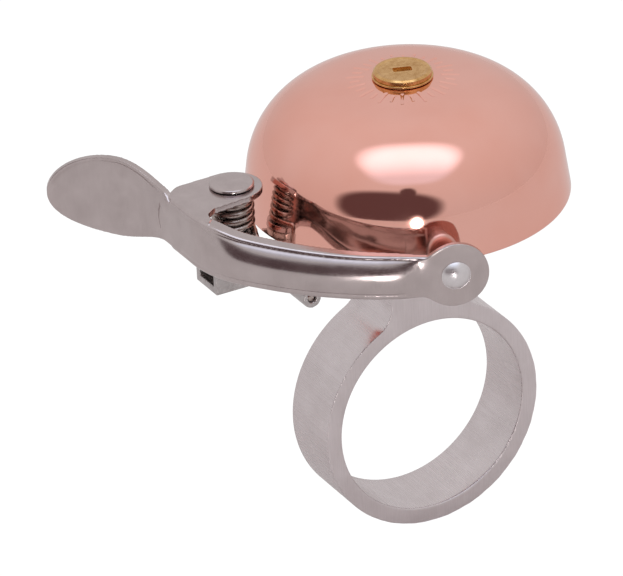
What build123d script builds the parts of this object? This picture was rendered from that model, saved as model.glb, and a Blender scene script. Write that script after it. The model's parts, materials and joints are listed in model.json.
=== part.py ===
from build123d import *
import math
import os

# Bicycle bell on a headset spacer ring.
# Frame: origin at the centre of the spacer bore, bore axis along Y, dome axis along +Z.
# The thumb lever swings about a vertical rivet on the -X side. Millimetres.

# ---------------------------------------------------------------- driving dimensions
bore_radius = 14.35          # free fit on a 28.6 mm (1-1/8 in) fork steerer
ring_radius = 16.7
ring_length = 10.0
ring_edge = 0.25             # broken edges of the sawn ring
lug_width = 11.6
lug_fillet = 4.0

rim_z = 32.4                 # dome rim above the bore centre
dome_rim_radius = 22.5
dome_wall = 1.2
dome_crown = 17.55           # outer crown above the rim
skirt_height = 5.3           # nearly straight lower wall
skirt_lean = 0.75            # how far the skirt leans in over its height
shoulder_radius = 13.4
dome_hole_radius = 2.2

sheet = 1.0                  # steel sheet of the bracket
floor_bottom = rim_z - 5.8   # underside of the bracket, seated on the lug
floor_top = floor_bottom + sheet
channel_width = 5.8
wall_sheet = 0.9
wall_top = rim_z - 0.6
channel_end_x = -31.4
wall_full_x = -23.9          # the side walls slope down to the floor from here
wall_end_x = -20.0
pad_radius = 6.2
ear_root = 2.3               # half widths of the ear that carries the spring seat
ear_tip = 1.2
ear_taper_end = 2.5          # straight part at the ear's tip
ear_gap = 3.4                # the near wall is cut away where the ear leaves the floor
hole_play = 0.05             # radial clearance of riveted and turned pieces
stud_play = 0.2

pivot_x = -26.8
bush_radius = 1.65
bush_bore = 1.28
rivet_shank = 1.23
lever_hole = 1.70
rivet_head_radius = 3.05
rivet_head_bottom = rim_z + 8.5
rivet_head_height = 0.7
rivet_head_round = 0.45
rivet_tail_radius = 1.9
rivet_tail_height = 0.35
thrust_washer_radius = 3.0
tab_play = 0.1               # end float of the lever between washer and rivet head

spring_radius = 2.5          # to the middle of the wire
wire_radius = 0.46
leg_wire_radius = 0.47       # the lower leg, a hair thicker where it joins the coil
leg_overlap = 0.25
spring_bottom = rim_z + 1.62
spring_top = rim_z + 7.40
coil_start = -20.0           # degrees about the pivot, where the lower leg leaves the coil
coil_end = 75.0              # where the upper leg leaves it, after the whole turns
whole_turns = 4
lower_leg_run = 3.7          # the lower leg leaves the coil, turns down beside the wall
lower_leg_low = 1.0          # and runs this far above the bracket's floor to its seat
lower_leg_turn_y = -6.4
lower_leg_seat_y = -8.6
leg_bend = 0.7               # inside the wire's middle line
upper_leg_run = 8.3
groove_x = -21.1             # half-round seat of the spring's lower leg
groove_end_y = -11.0
groove_radius = 1.35
groove_bore = 0.62
groove_drop = 1.2            # how far the seat hangs below the bracket
groove_z = floor_bottom - groove_drop + groove_radius

stud_radius = 2.45
tapped_lug_radius = 2.5
tapped_lug_depth = 8.5
post_flats = 7.0
lock_washer_sheet = 1.0
seat_washer_radius = 3.4
seat_washer_sheet = 0.8
top_washer_radius = 4.2
top_washer_sheet = 0.3
screw_radius = 1.95
tapped_post_radius = 2.0
screw_reach = 9.0
screw_head_radius = 4.0
screw_head_height = 0.8
slot_length = 2.6
slot_width = 1.3
slot_depth = 0.5
slot_turn = -20.0
head_chamfer = 0.25
lock_washer_rim = 0.6        # the lock washer stands out past the post's flats
lock_washer_split = 0.5

lever_sheet = 0.9
web_x = -35.8                # outer face of the lever web beside the pivot
neck_y = 2.0                 # where the thumb paddle begins
bend_y = -4.5                # where the arm starts to curve round the dome
bend_radius = 11.73
bend_angle = 45.0
arm_radius = 57.85
disc_angle = 73.4            # direction of the arm at the hammer
band_end_angle = 70.9
paddle_radius = 17.3         # sweep of the paddle away from the dome
paddle_length = 19.9
paddle_half = 5.8
paddle_widest = 0.51         # share of its length where it is widest
neck_half = 3.75
paddle_mid_z = rim_z + 5.15
dish_depth = 1.1
top_tab_radius = 4.15
bottom_tab_radius = 3.2
fold_inset = 0.6             # the tabs' plates start just inside the web
fold_corner = 0.55           # bevel of the folded edges
tab_top = rivet_head_bottom - tab_play
tab_bottom = rim_z + 0.6

disc_radius = 4.55
disc_z = rim_z + 1.25
knob_radius = 2.6
knob_gap = 1.2               # hammer to dome at rest
hammer_shank = 1.0
hammer_head_radius = 2.0
hammer_head_height = 0.9
hammer_head_round = 0.75
rivet_play = 0.03
knob_bore_depth = 2.4
knob_round = 0.9

os.makedirs("parts", exist_ok=True)


def finish(part, name):
    part.label = name
    export_step(part, "parts/" + name + ".step")
    print(name, round(part.volume, 2), len(part.solids()))


# ---------------------------------------------------------------- spacer ring with its lug
with BuildPart() as spacer_ring:
    with BuildSketch(Plane.XZ.offset(-ring_length / 2)) as ring_face:
        Circle(ring_radius)
        with Locations((0, floor_bottom / 2)):
            Rectangle(lug_width, floor_bottom)
        root_points = [v for v in ring_face.vertices() if 14 < v.Y < 17]
        fillet(root_points, lug_fillet)
        Circle(bore_radius, mode=Mode.SUBTRACT)
    extrude(amount=ring_length)
    with BuildSketch(Plane.XY.offset(floor_bottom)):
        Circle(tapped_lug_radius)
    extrude(amount=-tapped_lug_depth, mode=Mode.SUBTRACT)
    bore_edges = spacer_ring.edges().filter_by(GeomType.CIRCLE).filter_by(
        lambda e: abs(e.radius - bore_radius) < 0.01)
    chamfer(bore_edges, ring_edge)
finish(spacer_ring.part, "spacer_ring")

# ---------------------------------------------------------------- stamped base bracket
with BuildPart() as base_bracket:
    with BuildSketch(Plane.XY.offset(floor_bottom)):
        Circle(pad_radius)
        with Locations((channel_end_x / 2, 0)):
            Rectangle(-channel_end_x, channel_width)
        with BuildLine():
            Polyline((groove_x - ear_root, 0), (groove_x - ear_root, -channel_width / 2 - 1),
                     (groove_x - ear_tip, groove_end_y), (groove_x + ear_tip, groove_end_y),
                     (groove_x + ear_root, groove_end_y + ear_taper_end), (groove_x + ear_root, 0),
                     close=True)
        make_face()
    extrude(amount=sheet)
    for wall_y in (channel_width / 2, -channel_width / 2 + wall_sheet):
        with BuildSketch(Plane.XZ.offset(-wall_y)):
            with BuildLine():
                Polyline((channel_end_x, floor_bottom), (channel_end_x, wall_top),
                         (wall_full_x, wall_top), (wall_end_x, floor_top),
                         (wall_end_x, floor_bottom), close=True)
            make_face()
        extrude(amount=wall_sheet)
    with BuildSketch(Plane.XZ.offset(channel_width / 2 + 0.5)):
        with Locations((groove_x, (floor_top + wall_top) / 2 + 0.5)):
            Rectangle(ear_gap, wall_top - floor_top + 1.0)
    extrude(amount=-(wall_sheet + 0.5), mode=Mode.SUBTRACT)
    with BuildSketch(Plane.XZ.offset(channel_width / 2)):
        with Locations((groove_x, groove_z)):
            Circle(groove_radius)
    extrude(amount=-groove_end_y - channel_width / 2)
    with BuildSketch(Plane.XZ.offset(channel_width / 2 + 1.0)):
        with Locations((groove_x, groove_z)):
            Circle(groove_bore)
        with Locations((groove_x, groove_z + groove_radius)):
            Rectangle(2 * groove_bore, 2 * groove_radius)
    extrude(amount=-groove_end_y, mode=Mode.SUBTRACT)
    with BuildSketch(Plane.XY.offset(floor_bottom - 1)):
        Circle(stud_radius + stud_play)
        with Locations((pivot_x, 0)):
            Circle(rivet_shank + hole_play)
    extrude(amount=sheet + 2, mode=Mode.SUBTRACT)
finish(base_bracket.part, "base_bracket")

# ---------------------------------------------------------------- lock washer, post, dome fixings
with BuildPart() as lock_washer:
    with BuildSketch(Plane.XY.offset(floor_top)):
        Circle(post_flats / 2 + lock_washer_rim)
        Circle(stud_radius + stud_play, mode=Mode.SUBTRACT)
        with Locations((post_flats / 2, 0)):
            Rectangle(post_flats, lock_washer_split, mode=Mode.SUBTRACT)
    extrude(amount=lock_washer_sheet)
finish(lock_washer.part, "lock_washer")

skirt_angle = math.atan2(skirt_lean, skirt_height)
shoulder_x = dome_rim_radius - skirt_lean - shoulder_radius * math.cos(skirt_angle)
shoulder_z = skirt_height - shoulder_radius * math.sin(skirt_angle)
drop = shoulder_z - dome_crown
crown_radius = (shoulder_radius ** 2 - shoulder_x ** 2 - drop ** 2) / (2 * (drop + shoulder_radius))
crown_centre_z = dome_crown - crown_radius
join_angle = math.atan2(shoulder_z - crown_centre_z, shoulder_x)


def dome_points(inset):
    """Rim, skirt top, mid shoulder, shoulder end and mid crown of the shell, inset by a wall."""
    shoulder = shoulder_radius - inset
    crown = crown_radius - inset
    mid_shoulder = (skirt_angle + join_angle) / 2
    mid_crown = (join_angle + math.pi / 2) / 2
    skirt_top = (shoulder_x + shoulder * math.cos(skirt_angle),
                 rim_z + shoulder_z + shoulder * math.sin(skirt_angle))
    rim = (skirt_top[0] + (skirt_top[1] - rim_z) * math.tan(skirt_angle), rim_z)
    shoulder_mid = (shoulder_x + shoulder * math.cos(mid_shoulder),
                    rim_z + shoulder_z + shoulder * math.sin(mid_shoulder))
    shoulder_end = (shoulder_x + shoulder * math.cos(join_angle),
                    rim_z + shoulder_z + shoulder * math.sin(join_angle))
    crown_mid = (crown * math.cos(mid_crown), rim_z + crown_centre_z + crown * math.sin(mid_crown))
    apex = (0, rim_z + crown_centre_z + crown)
    return rim, skirt_top, shoulder_mid, shoulder_end, crown_mid, apex


def crown_sag(radius, inset):
    """How far the crown has fallen at this radius."""
    crown = crown_radius - inset
    return crown - math.sqrt(crown ** 2 - radius ** 2)


outer = dome_points(0)
inner = dome_points(dome_wall)
with BuildPart() as dome:
    with BuildSketch(Plane.XZ):
        with BuildLine():
            Line(outer[0], outer[1])
            ThreePointArc(outer[1], outer[2], outer[3])
            ThreePointArc(outer[3], outer[4], outer[5])
            Line(outer[5], inner[5])
            ThreePointArc(inner[5], inner[4], inner[3])
            ThreePointArc(inner[3], inner[2], inner[1])
            Line(inner[1], inner[0])
            Line(inner[0], outer[0])
        make_face()
    revolve(axis=Axis.Z)
    with BuildSketch(Plane.XY.offset(rim_z + dome_crown - 3)):
        Circle(dome_hole_radius)
    extrude(amount=5, mode=Mode.SUBTRACT)
finish(dome.part, "dome")

crown_inside = rim_z + dome_crown - dome_wall
seat_top = crown_inside - crown_sag(seat_washer_radius, dome_wall)
post_top = seat_top - seat_washer_sheet
post_bottom = floor_top + lock_washer_sheet
stud_bottom = floor_bottom - tapped_lug_depth + 1.0
with BuildPart() as bell_post:
    with BuildSketch(Plane.XY.offset(post_bottom)):
        RegularPolygon(post_flats / 2, 6, major_radius=False)
    extrude(amount=post_top - post_bottom)
    with BuildSketch(Plane.XY.offset(stud_bottom)):
        Circle(stud_radius)
    extrude(amount=post_bottom - stud_bottom)
    with BuildSketch(Plane.XY.offset(post_top)):
        Circle(tapped_post_radius)
    extrude(amount=-screw_reach - 1, mode=Mode.SUBTRACT)
finish(bell_post.part, "bell_post")

with BuildPart() as dome_seat_washer:
    with BuildSketch(Plane.XY.offset(post_top)):
        Circle(seat_washer_radius)
        Circle(dome_hole_radius, mode=Mode.SUBTRACT)
    extrude(amount=seat_washer_sheet)
finish(dome_seat_washer.part, "dome_seat_washer")

top_washer_bottom = rim_z + dome_crown - crown_sag(dome_hole_radius, 0)
with BuildPart() as dome_top_washer:
    with BuildSketch(Plane.XY.offset(top_washer_bottom)):
        Circle(top_washer_radius)
        Circle(dome_hole_radius, mode=Mode.SUBTRACT)
    extrude(amount=top_washer_sheet)
finish(dome_top_washer.part, "dome_top_washer")

screw_head_bottom = top_washer_bottom + top_washer_sheet
with BuildPart() as dome_screw:
    with BuildSketch(Plane.XY.offset(screw_head_bottom)):
        Circle(screw_head_radius)
    extrude(amount=screw_head_height)
    chamfer(dome_screw.edges().group_by(Axis.Z)[-1], head_chamfer)
    with BuildSketch(Plane.XY.offset(screw_head_bottom + screw_head_height)):
        Rectangle(slot_length, slot_width, rotation=slot_turn)
    extrude(amount=-slot_depth, mode=Mode.SUBTRACT)
    with BuildSketch(Plane.XY.offset(post_top - screw_reach)):
        Circle(screw_radius)
    extrude(amount=screw_head_bottom - post_top + screw_reach)
finish(dome_screw.part, "dome_screw")

# ---------------------------------------------------------------- thumb lever
arm_start = math.radians(bend_angle)
arm_start_x = web_x + bend_radius * (1 - math.cos(arm_start))
arm_start_y = bend_y - bend_radius * math.sin(arm_start)


def band_plane(x, y, angle):
    """Section plane square to the lever: local x points inward, local y up."""
    inward = (math.cos(angle), math.sin(angle), 0)
    onward = (math.sin(angle), -math.cos(angle), 0)
    return Plane(origin=(x, y, 0), x_dir=inward, z_dir=onward)


def bend_plane(degrees):
    angle = math.radians(degrees)
    x = web_x + bend_radius * (1 - math.cos(angle))
    y = bend_y - bend_radius * math.sin(angle)
    return band_plane(x, y, angle)


def arm_plane(degrees):
    angle = math.radians(degrees)
    x = arm_start_x + arm_radius * (math.cos(arm_start) - math.cos(angle))
    y = arm_start_y - arm_radius * (math.sin(angle) - math.sin(arm_start))
    return band_plane(x, y, angle)


def paddle_plane(length):
    angle = length / paddle_radius
    x = web_x - paddle_radius * (1 - math.cos(angle))
    y = neck_y + paddle_radius * math.sin(angle)
    return band_plane(x, y, angle)


def channel_section(bottom, top, flange):
    """The folded band: a web with both edges turned inward."""
    inside_bottom = bottom + lever_sheet
    inside_top = top - lever_sheet
    Polygon((0, bottom + fold_corner), (fold_corner, bottom), (flange, bottom), (flange, inside_bottom),
            (lever_sheet, inside_bottom), (lever_sheet, inside_top), (flange, inside_top), (flange, top),
            (fold_corner, top), (0, top - fold_corner), align=None)


def paddle_half_height(length):
    widest = paddle_length * paddle_widest
    if length < widest:
        return neck_half + (paddle_half - neck_half) * (0.5 - 0.5 * math.cos(math.pi * length / widest))
    return paddle_half * math.sqrt(1 - ((length - widest) / (paddle_length - widest)) ** 2)


# section plane, underside and top of the band above the rim, inward reach of its folded edges
neck_plane = band_plane(web_x, neck_y - 1.0, 0)
stations = [
    (neck_plane, 0.65, 8.35, 1.8),
    (band_plane(web_x, bend_y, 0), 0.65, 8.35, 1.8),
    (bend_plane(22), 0.5, 8.0, 1.8),
    (arm_plane(bend_angle), 0.1, 7.0, 1.7),
    (arm_plane(53), -0.8, 5.8, 1.6),
    (arm_plane(60), -1.4, 4.95, 1.5),
    (arm_plane(66), -1.75, 4.5, 1.4),
    (arm_plane(band_end_angle), -1.8, 4.4, 1.2),
]
paddle_steps = [0.0, 0.15, 0.35, 0.55, 0.75, 0.88, 0.96, 0.992]
with BuildPart() as lever:
    for plane, bottom, top, flange in stations:
        with BuildSketch(plane):
            channel_section(rim_z + bottom, rim_z + top, flange)
    loft()
    for step in paddle_steps:
        length = step * paddle_length
        half = paddle_half_height(length) if step > 0 else neck_half
        dish = 0.02 + dish_depth * math.sin(math.pi * min(step, 0.5)) * half / paddle_half
        low = paddle_mid_z - half
        high = paddle_mid_z + half
        with BuildSketch(paddle_plane(length) if step > 0 else neck_plane):
            with BuildLine():
                ThreePointArc((0, low), (dish, paddle_mid_z), (0, high))
                Line((0, high), (lever_sheet, high))
                ThreePointArc((lever_sheet, high), (lever_sheet + dish, paddle_mid_z), (lever_sheet, low))
                Line((lever_sheet, low), (0, low))
            make_face()
    loft()
    # pivot tabs folded in from the top and bottom edges
    for tab_z, tab_radius in ((tab_top - lever_sheet, top_tab_radius), (tab_bottom, bottom_tab_radius)):
        with BuildSketch(Plane.XY.offset(tab_z)):
            with BuildLine():
                Polyline((web_x + fold_inset, -8.0), (web_x + fold_inset, 1.4), (-33.3, tab_radius - 0.2),
                         (pivot_x, tab_radius), (pivot_x, -tab_radius), (-31.9, -tab_radius - 0.4),
                         (-33.3, -5.4), (-33.9, -6.9), close=True)
            make_face()
            with Locations((pivot_x, 0)):
                Circle(tab_radius)
                Circle(lever_hole, mode=Mode.SUBTRACT)
        extrude(amount=lever_sheet)
    # hammer disc on the arm's end
    disc_plane = arm_plane(disc_angle)
    face_plane = Plane(origin=disc_plane.origin + Vector(0, 0, disc_z), z_dir=disc_plane.x_dir)
    with BuildSketch(face_plane):
        Circle(disc_radius)
    extrude(amount=lever_sheet)
    with BuildSketch(face_plane.offset(-1)):
        Circle(hammer_shank + rivet_play)
    extrude(amount=3, mode=Mode.SUBTRACT)
finish(lever.part, "lever")

# ---------------------------------------------------------------- pivot stack
with BuildPart() as pivot_thrust_washer:
    with BuildSketch(Plane.XY.offset(wall_top)):
        with Locations((pivot_x, 0)):
            Circle(thrust_washer_radius)
            Circle(bush_radius + hole_play, mode=Mode.SUBTRACT)
    extrude(amount=tab_bottom - tab_play - wall_top)
finish(pivot_thrust_washer.part, "pivot_thrust_washer")

with BuildPart() as pivot_bush:
    with BuildSketch(Plane.XY.offset(floor_top)):
        with Locations((pivot_x, 0)):
            Circle(bush_radius)
            Circle(bush_bore, mode=Mode.SUBTRACT)
    extrude(amount=rivet_head_bottom - floor_top)
finish(pivot_bush.part, "pivot_bush")

with BuildPart() as pivot_rivet:
    with BuildSketch(Plane.XY.offset(rivet_head_bottom)):
        with Locations((pivot_x, 0)):
            Circle(rivet_head_radius)
    extrude(amount=rivet_head_height)
    fillet(pivot_rivet.edges().group_by(Axis.Z)[-1], rivet_head_round)
    with BuildSketch(Plane.XY.offset(floor_bottom)):
        with Locations((pivot_x, 0)):
            Circle(rivet_shank)
    extrude(amount=rivet_head_bottom - floor_bottom)
    with BuildSketch(Plane.XY.offset(floor_bottom)):
        with Locations((pivot_x, 0)):
            Circle(rivet_tail_radius)
    extrude(amount=-rivet_tail_height, taper=25)
finish(pivot_rivet.part, "pivot_rivet")

# ---------------------------------------------------------------- return spring
coil_turns = whole_turns + (coil_end - coil_start) / 360
coil_height = spring_top - spring_bottom - 2 * wire_radius
pitch = coil_height / coil_turns
start_angle = math.radians(coil_start)
end_angle = math.radians(coil_end)
leg_start = Vector(pivot_x + spring_radius * math.cos(start_angle), spring_radius * math.sin(start_angle),
                   spring_bottom + wire_radius)
leg_way = Vector(math.sin(start_angle), -math.cos(start_angle), 0)
leg_knee = leg_start + leg_way * lower_leg_run
upper_start = Vector(pivot_x + spring_radius * math.cos(end_angle), spring_radius * math.sin(end_angle),
                     spring_top - wire_radius)
upper_end = upper_start + Vector(-math.sin(end_angle), math.cos(end_angle), 0) * upper_leg_run
wire_seat_z = groove_z - groove_bore + wire_radius + hole_play
leg_low_z = floor_top + lower_leg_low

with BuildPart() as return_spring:
    with BuildLine() as coil_path:
        Helix(pitch, coil_height, spring_radius)
    coil_line = coil_path.line.rotate(Axis.Z, coil_start).moved(Location((pivot_x, 0, leg_start.Z)))
    with BuildSketch(Plane(origin=coil_line @ 0, z_dir=coil_line % 0)):
        Circle(wire_radius)
    sweep(path=coil_line)
    with BuildLine() as lower_leg:
        FilletPolyline(leg_start - leg_way * leg_overlap, leg_knee, (leg_knee.X, leg_knee.Y - leg_bend / 2, leg_low_z),
                       (groove_x, lower_leg_turn_y, leg_low_z), (groove_x, lower_leg_seat_y, wire_seat_z),
                       (groove_x, groove_end_y + 0.4, wire_seat_z), radius=leg_bend)
    with BuildSketch(Plane(origin=lower_leg.line @ 0, z_dir=lower_leg.line % 0)):
        Circle(leg_wire_radius)
    sweep(path=lower_leg.line)
    with BuildLine() as upper_leg:
        Line(upper_start, upper_end)
    with BuildSketch(Plane(origin=upper_start, z_dir=upper_leg.line % 0)):
        Circle(wire_radius)
    sweep(path=upper_leg.line)
finish(return_spring.part, "return_spring")

# ---------------------------------------------------------------- hammer
disc_distance = math.hypot(face_plane.origin.X, face_plane.origin.Y)
struck_radius = dome_rim_radius - skirt_lean * (disc_z - rim_z) / skirt_height
knob_length = disc_distance - lever_sheet - struck_radius - knob_gap
with BuildPart() as hammer_knob:
    with BuildSketch(face_plane.offset(lever_sheet)):
        Circle(knob_radius)
    extrude(amount=knob_length)
    front_edge = hammer_knob.edges().filter_by(GeomType.CIRCLE).sort_by_distance((0, 0, disc_z))[0]
    fillet(front_edge, knob_round)
    with BuildSketch(face_plane.offset(lever_sheet)):
        Circle(hammer_shank)
    extrude(amount=knob_bore_depth, mode=Mode.SUBTRACT)
finish(hammer_knob.part, "hammer_knob")

with BuildPart() as hammer_rivet:
    with BuildSketch(face_plane):
        Circle(hammer_head_radius)
    extrude(amount=-hammer_head_height)
    crown_edge = hammer_rivet.edges().filter_by(GeomType.CIRCLE).sort_by_distance((0, 0, disc_z))[-1]
    fillet(crown_edge, hammer_head_round)
    with BuildSketch(face_plane):
        Circle(hammer_shank - rivet_play)
    extrude(amount=lever_sheet + knob_bore_depth - 0.1)
finish(hammer_rivet.part, "hammer_rivet")
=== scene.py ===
import json
import math

import bmesh
import bpy
import numpy as np
from mathutils import Matrix, Vector


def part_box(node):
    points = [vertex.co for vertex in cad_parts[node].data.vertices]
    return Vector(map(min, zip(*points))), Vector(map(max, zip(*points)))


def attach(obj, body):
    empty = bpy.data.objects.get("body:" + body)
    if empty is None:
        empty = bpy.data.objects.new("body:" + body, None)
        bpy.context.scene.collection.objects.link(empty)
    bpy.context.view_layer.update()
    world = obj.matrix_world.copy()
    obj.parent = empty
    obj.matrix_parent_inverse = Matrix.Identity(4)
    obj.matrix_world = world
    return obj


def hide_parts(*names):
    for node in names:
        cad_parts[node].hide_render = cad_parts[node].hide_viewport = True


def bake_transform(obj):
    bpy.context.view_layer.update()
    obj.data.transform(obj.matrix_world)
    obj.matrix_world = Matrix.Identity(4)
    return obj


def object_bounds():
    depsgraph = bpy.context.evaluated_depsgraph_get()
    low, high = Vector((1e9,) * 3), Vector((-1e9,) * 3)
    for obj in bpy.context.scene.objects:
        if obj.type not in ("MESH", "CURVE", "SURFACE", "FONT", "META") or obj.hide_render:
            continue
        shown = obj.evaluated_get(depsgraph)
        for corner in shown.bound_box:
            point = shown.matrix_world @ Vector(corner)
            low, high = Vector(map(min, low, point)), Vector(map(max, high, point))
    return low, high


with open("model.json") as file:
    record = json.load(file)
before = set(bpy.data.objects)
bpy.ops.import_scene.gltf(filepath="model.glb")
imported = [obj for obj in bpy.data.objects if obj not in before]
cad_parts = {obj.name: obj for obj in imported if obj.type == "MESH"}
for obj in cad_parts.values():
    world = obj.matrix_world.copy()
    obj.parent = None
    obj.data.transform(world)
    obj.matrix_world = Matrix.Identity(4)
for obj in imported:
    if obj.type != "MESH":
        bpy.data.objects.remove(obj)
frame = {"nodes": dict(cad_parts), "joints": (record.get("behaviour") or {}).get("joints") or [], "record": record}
cad_low, cad_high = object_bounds()

# Lever-strike bicycle bell on a spacer ring. Metres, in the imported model's frame: the bore's centre is the
# origin, the bore runs along Y, the dome's axis is +Z and the lever's pivot is on the -X side.
mm = 0.001

# ---------------------------------------------------------------- places read from the frame
rim_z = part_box("dome")[0].z
rim_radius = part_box("dome")[1].x
pivot = Vector(frame["joints"][0]["pos_m"])
bore = next(m for m in frame["record"]["mounts"] if m["name"] == "steerer_bore")
bore_radius = bore["dims"]["r_mm"] * mm
ring_radius = -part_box("spacer_ring")[0].z
ring_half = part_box("spacer_ring")[1].y
lug_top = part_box("spacer_ring")[1].z
tab_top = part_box("pivot_rivet")[1].z - 0.8 * mm                # the rivet's head stands on the upper tab
tab_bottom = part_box("pivot_thrust_washer")[1].z + 0.1 * mm     # the lower tab runs just over its washer
floor_z = cad_low.z

# ---------------------------------------------------------------- sizes of the pieces made here
dome_wall = 1.2 * mm
dome_crown = 17.55 * mm       # outer crown above the rim
skirt_height = 5.3 * mm
skirt_lean = 0.75 * mm
shoulder_radius = 13.4 * mm
dome_hole = 2.2 * mm
dome_edge = 0.4 * mm

screw_head = 4.0 * mm
screw_head_height = 0.8 * mm
screw_shank = 1.95 * mm
slot_half_length = 1.3 * mm
slot_half_width = 0.65 * mm
slot_depth = 0.5 * mm
slot_turn = math.radians(-20)

rivet_head = 3.05 * mm
rivet_head_height = 0.7 * mm
rivet_shank = 1.23 * mm
bush_bore = 1.28 * mm
pivot_bore = 1.70 * mm

lug_half = 5.8 * mm
lug_fillet = 4.0 * mm
lug_edge = 0.3 * mm
stud_hole = 2.5 * mm
stud_hole_depth = 8.5 * mm
ring_edge = 0.25 * mm

lever_sheet = 0.9 * mm
web_x = -35.8 * mm
neck_y = 2.0 * mm
bend_y = -4.5 * mm
bend_radius = 11.73 * mm
bend_angle = math.radians(45)
arm_radius = 57.85 * mm
disc_angle = math.radians(73.4)
disc_radius = 4.55 * mm
disc_z = rim_z + 1.25 * mm
paddle_radius = 17.3 * mm
paddle_length = 19.75 * mm
paddle_half = 5.8 * mm
neck_half = 3.75 * mm
paddle_mid_z = rim_z + 5.15 * mm
top_tab_radius = 4.15 * mm
bottom_tab_radius = 3.2 * mm

button_radius = 2.0 * mm
button_height = 0.9 * mm
button_shank = 1.0 * mm
shank_play = 0.03 * mm

spring_radius = 2.5 * mm
wire_radius = 0.46 * mm
spring_low = rim_z + 1.62 * mm + wire_radius
spring_high = rim_z + 7.40 * mm - wire_radius
coil_start = math.radians(-20)
coil_end = math.radians(75 + 4 * 360)
lower_leg_run = 3.7 * mm
lower_leg_lean = 0.35 * mm
lower_leg_z = lug_top + 2.0 * mm              # 1 mm above the bracket's floor
lower_leg_turn_y = -6.4 * mm
lower_leg_seat_y = -8.6 * mm
lower_leg_end_y = -10.6 * mm
seat_z = lug_top - 0.42 * mm + wire_radius    # the half-round seat on the bracket's ear
groove_x = -21.1 * mm
upper_leg_run = 8.3 * mm


# ---------------------------------------------------------------- mesh helpers
def mesh_object(name, points, faces):
    mesh = bpy.data.meshes.new(name)
    mesh.from_pydata([tuple(p) for p in points], [], faces)
    obj = bpy.data.objects.new(name, mesh)
    bpy.context.scene.collection.objects.link(obj)
    clean(obj)
    return obj


def clean(obj, weld=1e-7):
    """Welds doubled points, drops empty faces and turns the normals out."""
    shape = bmesh.new()
    shape.from_mesh(obj.data)
    bmesh.ops.remove_doubles(shape, verts=shape.verts, dist=weld)
    bmesh.ops.dissolve_degenerate(shape, edges=shape.edges, dist=weld)
    bmesh.ops.recalc_face_normals(shape, faces=shape.faces)
    shape.to_mesh(obj.data)
    shape.free()
    obj.data.update()


def smooth(obj, sharp_degrees):
    """Smooth shading, with edges sharper than this left sharp."""
    obj.data.shade_smooth()
    obj.data.set_sharp_from_angle(angle=math.radians(sharp_degrees))


def apply_modifiers(obj):
    graph = bpy.context.evaluated_depsgraph_get()
    made = bpy.data.meshes.new_from_object(obj.evaluated_get(graph))
    obj.modifiers.clear()
    obj.data = made


def join(name, parts):
    """One object from several closed ones."""
    shape = bmesh.new()
    for part in parts:
        shape.from_mesh(part.data)
        bpy.data.objects.remove(part)
    mesh = bpy.data.meshes.new(name)
    shape.to_mesh(mesh)
    shape.free()
    obj = bpy.data.objects.new(name, mesh)
    bpy.context.scene.collection.objects.link(obj)
    return obj


def rounded(corners, steps=6):
    """A closed outline from corners (x, y, radius): a corner with a radius becomes an arc."""
    points = []
    for i, (x, y, radius) in enumerate(corners):
        corner = Vector((x, y))
        if radius == 0:
            points.append(corner)
            continue
        to_last = (Vector(corners[i - 1][:2]) - corner).normalized()
        to_next = (Vector(corners[(i + 1) % len(corners)][:2]) - corner).normalized()
        half = to_last.angle(to_next) / 2
        centre = corner + (to_last + to_next).normalized() * radius / math.sin(half)
        start = corner + to_last * radius / math.tan(half) - centre
        end = corner + to_next * radius / math.tan(half) - centre
        turn = start.angle(end)
        for k in range(steps + 1):
            t = k / steps
            arm = math.sin((1 - t) * turn) * start + math.sin(t * turn) * end
            points.append(centre + arm / math.sin(turn))
    return points


def strip_faces(rows, columns, wrap_rows=False):
    """Quads of a grid of points: each row is a closed loop, and the rows may close on themselves too."""
    faces = []
    for i in range(rows if wrap_rows else rows - 1):
        here, there = i * columns, (i + 1) % rows * columns
        for j in range(columns):
            n = (j + 1) % columns
            faces.append((here + j, here + n, there + n, there + j))
    return faces


def revolved(name, outline, turns=128, origin=Vector((0, 0, 0)), axis=Vector((0, 0, 1))):
    """A closed outline of (radius, height) points turned round an axis."""
    turn = axis.to_track_quat("Z", "Y")
    points = []
    for k in range(turns):
        a = 2 * math.pi * k / turns
        points += [origin + turn @ Vector((r * math.cos(a), r * math.sin(a), h)) for r, h in outline]
    return mesh_object(name, points, strip_faces(turns, len(outline), True))


def lofted(name, sections):
    """Closed sections of the same number of points, joined and capped."""
    count = len(sections[0])
    points = [p for section in sections for p in section]
    faces = strip_faces(len(sections), count)
    faces.append(tuple(range(count)))
    faces.append(tuple(range(len(points) - count, len(points))))
    return mesh_object(name, points, faces)


def prism(name, outline, low, high):
    """A flat plate between two heights."""
    return lofted(name, [[Vector((x, y, z)) for x, y in outline] for z in (low, high)])


def cut(obj, cutter):
    """Takes one closed piece out of another."""
    step = obj.modifiers.new("cut", "BOOLEAN")
    step.operation = "DIFFERENCE"
    step.solver = "EXACT"
    step.object = cutter
    apply_modifiers(obj)
    bpy.data.objects.remove(cutter)


def fuse(obj, voxel, rounds):
    """Merges overlapping closed parts into one skin and softens its edges, as tumbling does."""
    step = obj.modifiers.new("fuse", "REMESH")
    step.mode = "VOXEL"
    step.voxel_size = voxel
    soften = obj.modifiers.new("soften", "SMOOTH")
    soften.factor = 0.5
    soften.iterations = rounds
    apply_modifiers(obj)


def ease(t):
    """0 to 1 with flat ends."""
    t = min(1.0, max(0.0, t))
    return t * t * (3 - 2 * t)


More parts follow.
